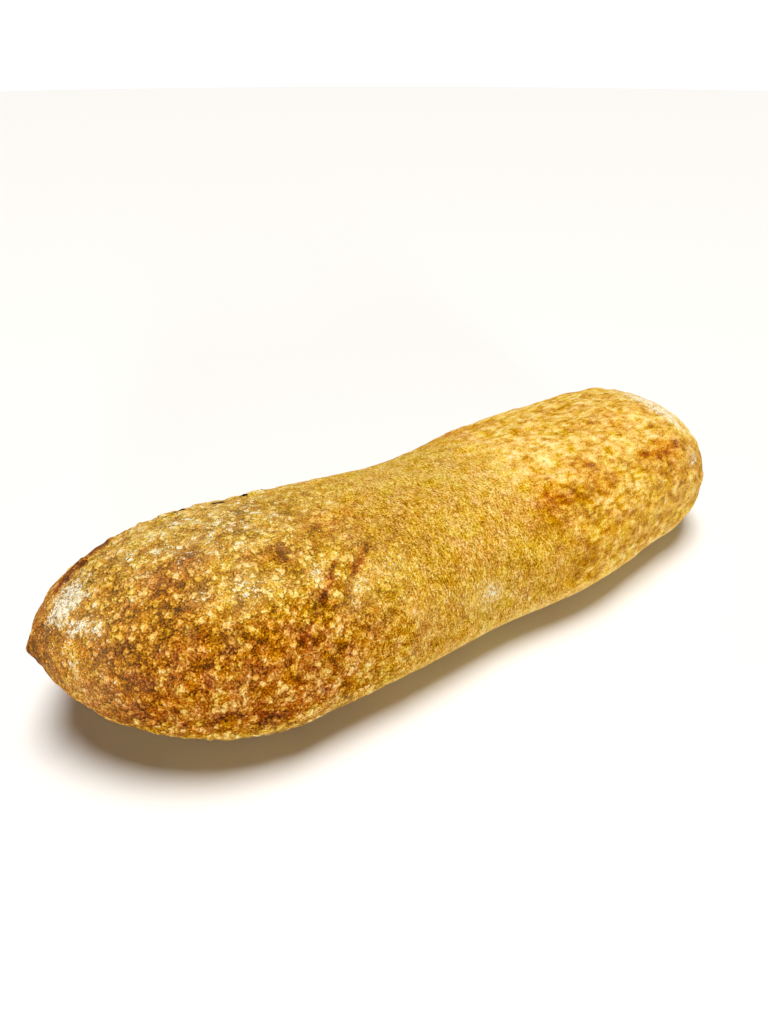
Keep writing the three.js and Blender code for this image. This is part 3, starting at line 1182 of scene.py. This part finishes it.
@dataclass
class Crust:
    """The loaf's crust: a closed grid of rings along the loaf, with a fan at each tip."""

    surface: CrustSurface
    bake_map: BakeMap
    rings: int = 424
    sides: int = 228
    ring_density: Step = Step(0.44, 0.36, 1.4, 0.74)
    underside_density: float = 0.15
    section_at: float = 0.4
    measures: int = 6001
    tip_gap: float = 1e-5
    wrinkled_heights: Step = Step(7.0, 24.0)
    shift: Array = field(default_factory=lambda: np.zeros(3), init=False)

    def build(self, finish: Material) -> Object:
        """Makes the crust, with the middle of its box over the origin, as the solid's is.

        Args:
            finish: its material.

        Returns:
            The crust, with its point values and UV map.
        """
        form, bake_map = self.surface.form, self.bake_map
        crust = self.surface.sample(*self._grid())
        shaped = self.surface.shaped(crust)
        self.shift = (shaped.min(axis=0) + shaped.max(axis=0)) / 2.0 * [-1.0, -1.0, 0.0]
        faces, spots = self._faces()
        piece = mesh_piece("loaf_crust", shaped + self.shift, faces, finish)
        values = {
            Mark.BAKE: bake_map.bake(form, crust),
            Mark.FLOUR: bake_map.flour(form, crust.skin),
            Mark.CHAR: bake_map.char(form, crust.skin),
            Mark.PEBBLED: crust.near,
            Mark.WRINKLED: crust.far * self.wrinkled_heights.at(crust.skin[:, 2]),
            Mark.ORANGE: bake_map.orange(form, crust),
        }
        for mark, value in values.items():
            layer = piece.data.attributes.new(mark.value, "FLOAT", "POINT")
            layer.data.foreach_set("value", value.astype(np.float32))
        unwrapped = piece.data.uv_layers.new(name=UV_MAP)
        unwrapped.data.foreach_set("uv", spots.astype(np.float32).ravel())
        return piece

    def _ring_places(self) -> Array:
        """Divides the side outline into steps, shorter ones at the pebbled end.

        Returns:
            Each ring's share of the length.
        """
        share = 0.5 - 0.5 * np.cos(np.linspace(0.0, np.pi, self.measures))
        form = self.surface.form
        outline = np.stack([share * form.length, form.half_width(share)])
        steps = np.hypot(*np.diff(outline)) * self.ring_density.at(share[1:])
        return evenly(steps, share, self.rings + 2)[1:-1]

    def _side_angles(self) -> Array:
        """Divides one section into equal steps, with longer ones underneath.

        Returns:
            An angle for each side.
        """
        angle = np.linspace(-0.5 * np.pi, 1.5 * np.pi, self.measures)
        section = self.surface.form.skin(np.full(angle.shape, self.section_at), angle)
        section[:, 2] = np.maximum(section[:, 2], 0.0)
        steps = np.linalg.norm(np.diff(section, axis=0), axis=1)
        steps *= np.where(section[1:, 2] <= 0.0, self.underside_density, 1.0)
        return evenly(steps, angle, self.sides + 1)[:-1]

    def _grid(self) -> tuple[Array, Array]:
        """Lists the vertices: near tip, ring after ring, far tip.

        Returns:
            The along share and the angle of each.
        """
        along = [[self.tip_gap], np.repeat(self._ring_places(), self.sides), [1.0 - self.tip_gap]]
        angle = [[0.5 * np.pi], np.tile(self._side_angles(), self.rings), [0.5 * np.pi]]
        return np.concatenate(along), np.concatenate(angle)

    def _faces(self) -> tuple[Array, Array]:
        """Lays two triangles in each cell between rings, and a fan at each tip.

        Returns:
            The vertex numbers of the faces, and the UV place of each corner: its ring's share of the rings
            and its side's share of the sides.
        """
        ring, side = np.meshgrid(np.arange(self.rings - 1), np.arange(self.sides), indexing="ij")
        own, last = np.arange(self.sides), self.rings - 1
        corners = np.concatenate([
            self._corners((-1, own + 0.5), (0, own + 1), (0, own)),
            self._corners((ring, side), (ring, side + 1), (ring + 1, side + 1)),
            self._corners((ring, side), (ring + 1, side + 1), (ring + 1, side)),
            self._corners((self.rings, own + 0.5), (last, own), (last, own + 1)),
        ])
        row, column = corners[..., 0], corners[..., 1]
        vertex = 1 + row * self.sides + np.floor(column) % self.sides
        vertex = np.where(row < 0, 0, np.where(row > last, 1 + self.rings * self.sides, vertex))
        return vertex.astype(int), np.stack([(row + 1.0) / (self.rings + 1.0), column / self.sides], axis=-1)

    @staticmethod
    def _corners(*places: tuple[Array | int, Array]) -> Array:
        """Faces as three corners, each a ring number and a side number, shape (n, 3, 2)."""
        pairs = [np.broadcast_arrays(row, column) for row, column in places]
        return np.stack([np.stack(pair, -1).reshape(-1, 2) for pair in pairs], 1).astype(float)


@dataclass(frozen=True)
class Sprinkle:
    """Small loose bits of one kind, lying on the crust where a mask lets them.

    The thickness and the ragged corners are over the radius, and the rise of a bit's middle is over its
    thickness. There are as many draws for each bit as tries.
    """

    name: str
    count: int
    along: Pair
    round: Pair
    radius: Pair
    thickness: float
    finer: int
    seed: int
    ragged: Pair = (0.75, 1.25)
    rise: float = 0.25
    tries: int = 60
    turned_from: tuple[float, float, float] = (0.3, 0.8, 0.52)

    def build(self, crust: Crust, mask: Mask, finish: Material) -> Object:
        """Lays the bits: places are drawn, and kept where the mask beats another draw.

        Args:
            crust: the crust that they lie on.
            mask: how likely a bit is at points of the skin, 0 to 1.
            finish: their material.

        Returns:
            All bits as one piece.
        """
        i = self.seed + 7 * np.arange(self.tries * self.count)
        along, angle = between(self.along, draw(i)), np.radians(between(self.round, draw(i + 1)))
        form = crust.surface.form
        kept = np.flatnonzero(mask(form, form.skin(along, angle)) > draw(i + 2))[: self.count]
        spots = crust.surface.sample(along[kept], angle[kept])
        places = crust.surface.shaped(spots) + crust.shift
        size = between(self.radius, draw(i[kept] + 3))
        return mesh_piece(self.name, *self._bits(places, spots.outward, size), finish)

    def _bits(self, points: Array, outward: Array, size: Array) -> tuple[Array, Array]:
        """Shapes every bit as a ball whose corners are pulled in and out a little.

        Args:
            points: the places on the crust.
            outward: the way out of the crust there.
            size: each bit's radius.

        Returns:
            All points and faces.
        """
        shape = bmesh.new()
        bmesh.ops.create_icosphere(shape, subdivisions=self.finer, radius=1.0)
        corners = np.array([corner.co for corner in shape.verts])
        faces = np.array([[corner.index for corner in face.verts] for face in shape.faces])
        shape.free()
        first = np.arange(len(size)) * len(corners)
        drawn = draw(self.seed + np.arange(len(size) * len(corners))).reshape(len(size), -1, 1)
        local = corners[None] * between(self.ragged, drawn) * size[:, None, None] * [1.0, 1.0, self.thickness]
        side = np.cross(outward, self.turned_from)
        side /= np.linalg.norm(side, axis=1, keepdims=True)
        frames = np.stack([side, np.cross(outward, side), outward], axis=1)
        middles = points + outward * (self.rise * self.thickness * size)[:, None]
        lumps = middles[:, None] + local @ frames
        return lumps.reshape(-1, 3), (faces[None] + first[:, None, None]).reshape(-1, 3)


# ---- Stage ----


@dataclass(frozen=True)
class Lamp:
    """A far, soft lamp: where it stands, how wide it looks and how strong it is."""

    name: str
    azimuth: float  # degrees from +X towards +Y
    elevation: float
    width: float
    strength: float
    colour: Colour

    def build(self) -> None:
        """Puts the lamp in the scene, turned to the loaf."""
        light = bpy.data.lights.new(self.name, "SUN")
        light.angle = math.radians(self.width)
        light.energy = self.strength
        light.color = light_of(self.colour)[:3]
        lamp = bpy.data.objects.new(self.name, light)
        a, e = math.radians(self.azimuth), math.radians(self.elevation)
        toward = Vector((math.cos(a) * math.cos(e), math.sin(a) * math.cos(e), math.sin(e)))
        lamp.location = toward
        lamp.rotation_euler = toward.to_track_quat("Z", "Y").to_euler()
        bpy.context.scene.collection.objects.link(lamp)


@dataclass(frozen=True)
class Studio:
    """The pale floor, the lamps and the bright surround."""

    floor_radius: float = 4.0  # metres
    floor_sides: int = 96
    floor_tone: Colour = (242, 242, 243)
    floor_roughness: float = 0.6
    floor_gloss: float = 0.2
    surround_light: float = 0.025
    surround_seen: float = 1.05
    lamps: tuple[Lamp, ...] = (
        Lamp("key", 38.0, 84.0, 32.0, 3.6, (255, 252, 246)),
        Lamp("front", -112.0, 6.0, 10.0, 1.55, (255, 250, 242)),
    )

    def build(self) -> Object:
        """Makes the stage.

        Returns:
            The floor.
        """
        turn = np.linspace(0.0, 2.0 * np.pi, self.floor_sides, endpoint=False)
        rim = np.stack([np.cos(turn), np.sin(turn), np.zeros_like(turn)], 1) * self.floor_radius / MM
        floor = mesh_piece("floor", rim, np.arange(self.floor_sides)[None, :], self._floor_finish())
        for lamp in self.lamps:
            lamp.build()
        self._surround()
        bpy.context.scene.view_settings.view_transform = "Standard"
        return floor

    def _floor_finish(self) -> Material:
        """Makes a plain matt surface.

        Returns:
            The material.
        """
        material, bench = NodeBench.material("pale_floor")
        bench.surface({"Base Color": light_of(self.floor_tone), "Roughness": self.floor_roughness,
                       "Specular IOR Level": self.floor_gloss})
        return material

    def _surround(self) -> None:
        """A world that is seen as white and gives only a faint light."""
        world = bpy.data.worlds.new("surround")
        world.use_nodes = True
        bpy.context.scene.world = world
        bench = NodeBench(world.node_tree)
        seen = bench.add("LightPath").outputs["Is Camera Ray"]
        strengths = {0: seen, 3: self.surround_light, 4: self.surround_seen}
        strength = bench.add("MapRange", strengths).outputs[0]
        background = bench.add("Background", {"Color": (1.0,) * 4, "Strength": strength})
        bench.add("OutputWorld", {"Surface": background.outputs[0]})


@dataclass(frozen=True)
class PhotoCamera:
    """The photograph's view: a wide lens close to the near end, looking down along the loaf.

    It stands back from its origin by the distance, and then moves right and up in its own view.
    """

    azimuth: float = -35.35
    elevation: float = 31.69
    distance: float = 339.97
    right: float = -15.82
    up: float = 29.52
    origin: tuple[float, float] = (0.9, 5.6)
    sensor: float = 36.0
    lens: float = 27.04
    nearest: float = 0.01  # metres

    def build(self) -> None:
        """Sets up the camera and makes it the scene's own."""
        a, e = math.radians(self.azimuth), math.radians(self.elevation)
        back = Vector((math.sin(a) * math.cos(e), -math.cos(a) * math.cos(e), math.sin(e)))
        right = Vector((math.cos(a), math.sin(a), 0.0))
        up = back.cross(right)
        place = self.right * right + self.up * up + self.distance * back + Vector((*self.origin, 0.0))
        data = bpy.data.cameras.new("camera")
        data.sensor_width = self.sensor
        data.lens = self.lens
        data.clip_start = self.nearest
        camera = bpy.data.objects.new("camera", data)
        camera.matrix_world = Matrix.Translation(place * MM) @ Matrix((right, up, back)).transposed().to_4x4()
        bpy.context.scene.collection.objects.link(camera)
        bpy.context.scene.camera = camera


# ---- The whole scene ----

FLOUR = Sprinkle("loose_flour", count=600, along=(0.005, 0.995), round=(5, 175), radius=(0.12, 0.28),
                 thickness=0.7, finer=1, seed=5000)
FLAKES = Sprinkle("burnt_flakes", count=14, along=(0.15, 0.33), round=(50, 110), radius=(0.4, 0.9),
                  thickness=0.5, finer=2, seed=9000)
FLOUR_FINISH = BitFinish("flour_grains", (Tone.FLOUR, Tone.MILK), Pattern(2.0), roughness=0.9)
FLAKE_FINISH = BitFinish("char_flakes", (Tone.CHAR, Tone.UMBER), Pattern(0.8), roughness=0.6)
FLOUR_GATHERS = 3  # the power that keeps loose grains to where the flour is thick


def report_piece(piece: Object) -> None:
    """Writes a piece's name, triangles and size to the log."""
    triangles = sum(len(polygon.vertices) - 2 for polygon in piece.data.polygons)
    log.info("%s: %d triangles, %s mm", piece.name, triangles, [round(d / MM, 1) for d in piece.dimensions])


def main() -> None:
    """Builds the camera, the stage and the loaf."""
    logging.basicConfig(level=logging.INFO, format="%(message)s")
    PhotoCamera().build()
    Studio().build()

    bake_map = BakeMap()
    crust = Crust(CrustSurface(), bake_map)
    skin = crust.build(CrustFinish().material(CrustGrain().group()))
    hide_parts(NODE)
    loose = [
        FLOUR.build(crust, lambda *at: bake_map.flour(*at) ** FLOUR_GATHERS, FLOUR_FINISH.material()),
        FLAKES.build(crust, bake_map.char, FLAKE_FINISH.material()),
    ]
    for piece in (skin, *loose):
        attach(piece, "root")
        report_piece(piece)


if __name__ == "__main__":
    main()
